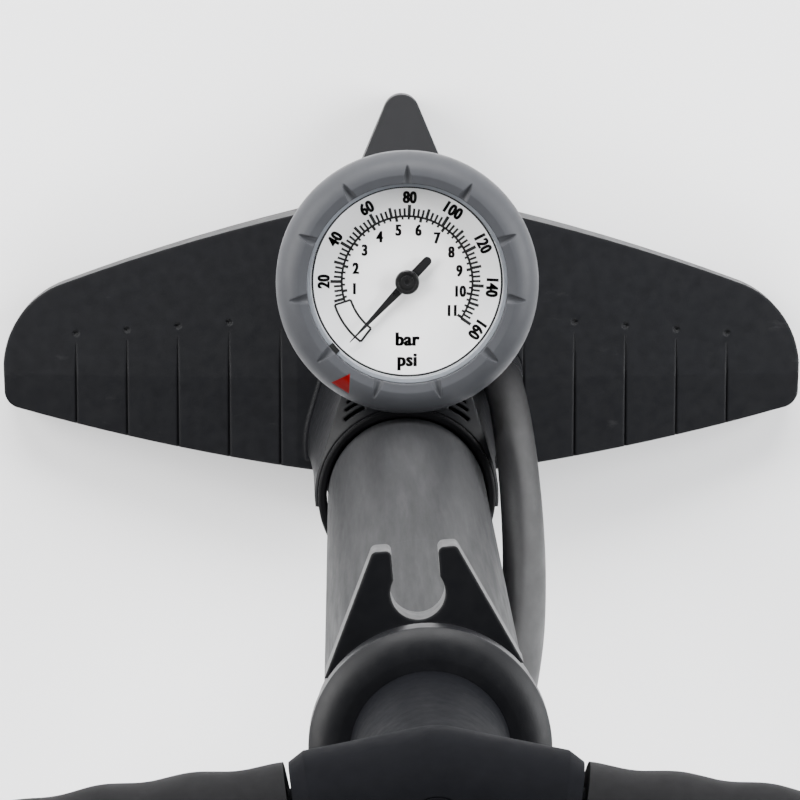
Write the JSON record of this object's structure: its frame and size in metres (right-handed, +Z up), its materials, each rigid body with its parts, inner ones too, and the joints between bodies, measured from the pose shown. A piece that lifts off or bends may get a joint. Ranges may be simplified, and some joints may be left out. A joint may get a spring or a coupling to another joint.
{
  "type": "floor pump",
  "caption": "Upright bicycle floor pump with winged foot, pressure gauge on a post, T handle on a chromed rod and a hose ending in a lever valve head.",
  "frame": {"origin": "on the barrel's axis, in the plane of the floor", "axes": "+Z up along the barrel, +Y from the barrel to the gauge and the front foot, +X to the hose's side"},
  "size_m": [0.2326, 0.1415, 0.6378],
  "materials": {
    "base_plastic": "fine moulded texture, satin black",
    "foot_rubber": "matte black rubber",
    "collar_plastic": "satin black",
    "barrel_paint": "dark grey satin coat",
    "aluminium": "machined",
    "seal_rubber": "smooth",
    "brass": "machined",
    "manifold_plastic": "moulded",
    "pipe_steel": "drawn tube",
    "zinc_steel": "zinc plated",
    "gauge_case_paint": "satin black coat",
    "bezel_grey": "fine satin grey",
    "marker_red": "inlaid red",
    "dial_white": "printed white plate",
    "spacer_grey": "pale grey",
    "lens_clear": "clear, polished",
    "needle_black": "black",
    "rod_chrome": "polished",
    "bush_acetal": "turned",
    "handle_plastic": "fine moulded texture, satin black",
    "grip_rubber": "soft matte rubber",
    "hose_rubber": "smooth satin rubber",
    "ferrule_aluminium": "crimped, satin",
    "head_cap_plastic": "satin black",
    "lever_plastic": "satin grey"
  },
  "bodies": {
    "frame": {"base": "base_plastic", "gauge_tower": "base_plastic", "hose_gland": "base_plastic", "top_cap": "base_plastic", "hub_foot_pad": "foot_rubber", "left_foot_pad": "foot_rubber", "right_foot_pad": "foot_rubber", "front_foot_pad": "foot_rubber", "collar_ring": "collar_plastic", "barrel": "barrel_paint", "valve_block": "aluminium", "head_body": "aluminium", "block_seal_ring": "seal_rubber", "rod_wiper": "seal_rubber", "head_gasket": "seal_rubber", "spring_retainer": "brass", "gauge_socket": "brass", "bourdon_tube": "brass", "movement_frame": "brass", "gauge_panel_nut": "brass", "air_manifold": "manifold_plastic", "gauge_pipe": "pipe_steel", "tower_screws": "zinc_steel", "lever_pin": "zinc_steel", "gauge_case": "gauge_case_paint", "dial_plate": "dial_white", "dial_spacer": "spacer_grey", "gauge_lens": "lens_clear", "rod_bush": "bush_acetal", "hose": "hose_rubber", "hose_ferrule": "ferrule_aluminium", "head_cap": "head_cap_plastic"},
    "piston": {"piston_disc": "aluminium", "piston_seal": "seal_rubber"},
    "handle": {"piston_rod": "rod_chrome", "piston_nut": "zinc_steel", "rod_collar": "zinc_steel", "rod_buffer": "base_plastic", "handle_core": "handle_plastic", "handle_screw": "zinc_steel", "hub_cap": "handle_plastic", "left_grip": "grip_rubber", "right_grip": "grip_rubber", "left_end_cap": "handle_plastic", "right_end_cap": "handle_plastic"},
    "bezel": {"bezel": "bezel_grey", "bezel_marker": "marker_red"},
    "gauge_sector": {"sector_gear": "brass"},
    "gauge_needle": {"needle_arbor": "brass", "needle": "needle_black", "needle_cap": "needle_black"},
    "lever": {"lever": "lever_plastic"},
    "check_valve": {"check_poppet": "brass", "check_spring": "zinc_steel"}
  },
  "joints": [
    {"name": "pump_stroke", "type": "slide", "parent": "frame", "child": "piston", "axis": [0, 0, 1], "range_m": [0, 0.47]},
    {"name": "handle_spin", "type": "hinge", "parent": "piston", "child": "handle", "pos_m": [0, 0, 0.05], "axis": [0, 0, 1], "continuous": true},
    {"name": "bezel_turn", "type": "hinge", "parent": "frame", "child": "bezel", "pos_m": [0, 0.0576, 0.155], "axis": [0, 0, 1], "continuous": true},
    {"name": "sector_turn", "type": "hinge", "parent": "frame", "child": "gauge_sector", "pos_m": [-0.01375, 0.0576, 0.145], "axis": [0, 0, 1], "range_deg": [0, 25.95]},
    {"name": "needle_sweep", "type": "hinge", "parent": "frame", "child": "gauge_needle", "pos_m": [0, 0.0576, 0.145], "axis": [0, 0, -1], "range_deg": [0, 259.5]},
    {"name": "lever_flip", "type": "hinge", "parent": "frame", "child": "lever", "pos_m": [0.0124, -0.0325, 0.59], "axis": [0, -1, 0], "range_deg": [0, 88]},
    {"name": "check_valve_lift", "type": "slide", "parent": "frame", "child": "check_valve", "axis": [0, 0, -1], "range_m": [0, 0.0015], "stiffness_N_per_m": 100, "springref_m": -0.003, "deforming": ["check_spring"]}
  ],
  "couplings": [
    {"joint": "needle_sweep", "follows": "sector_turn", "ratio": 10}
  ]
}
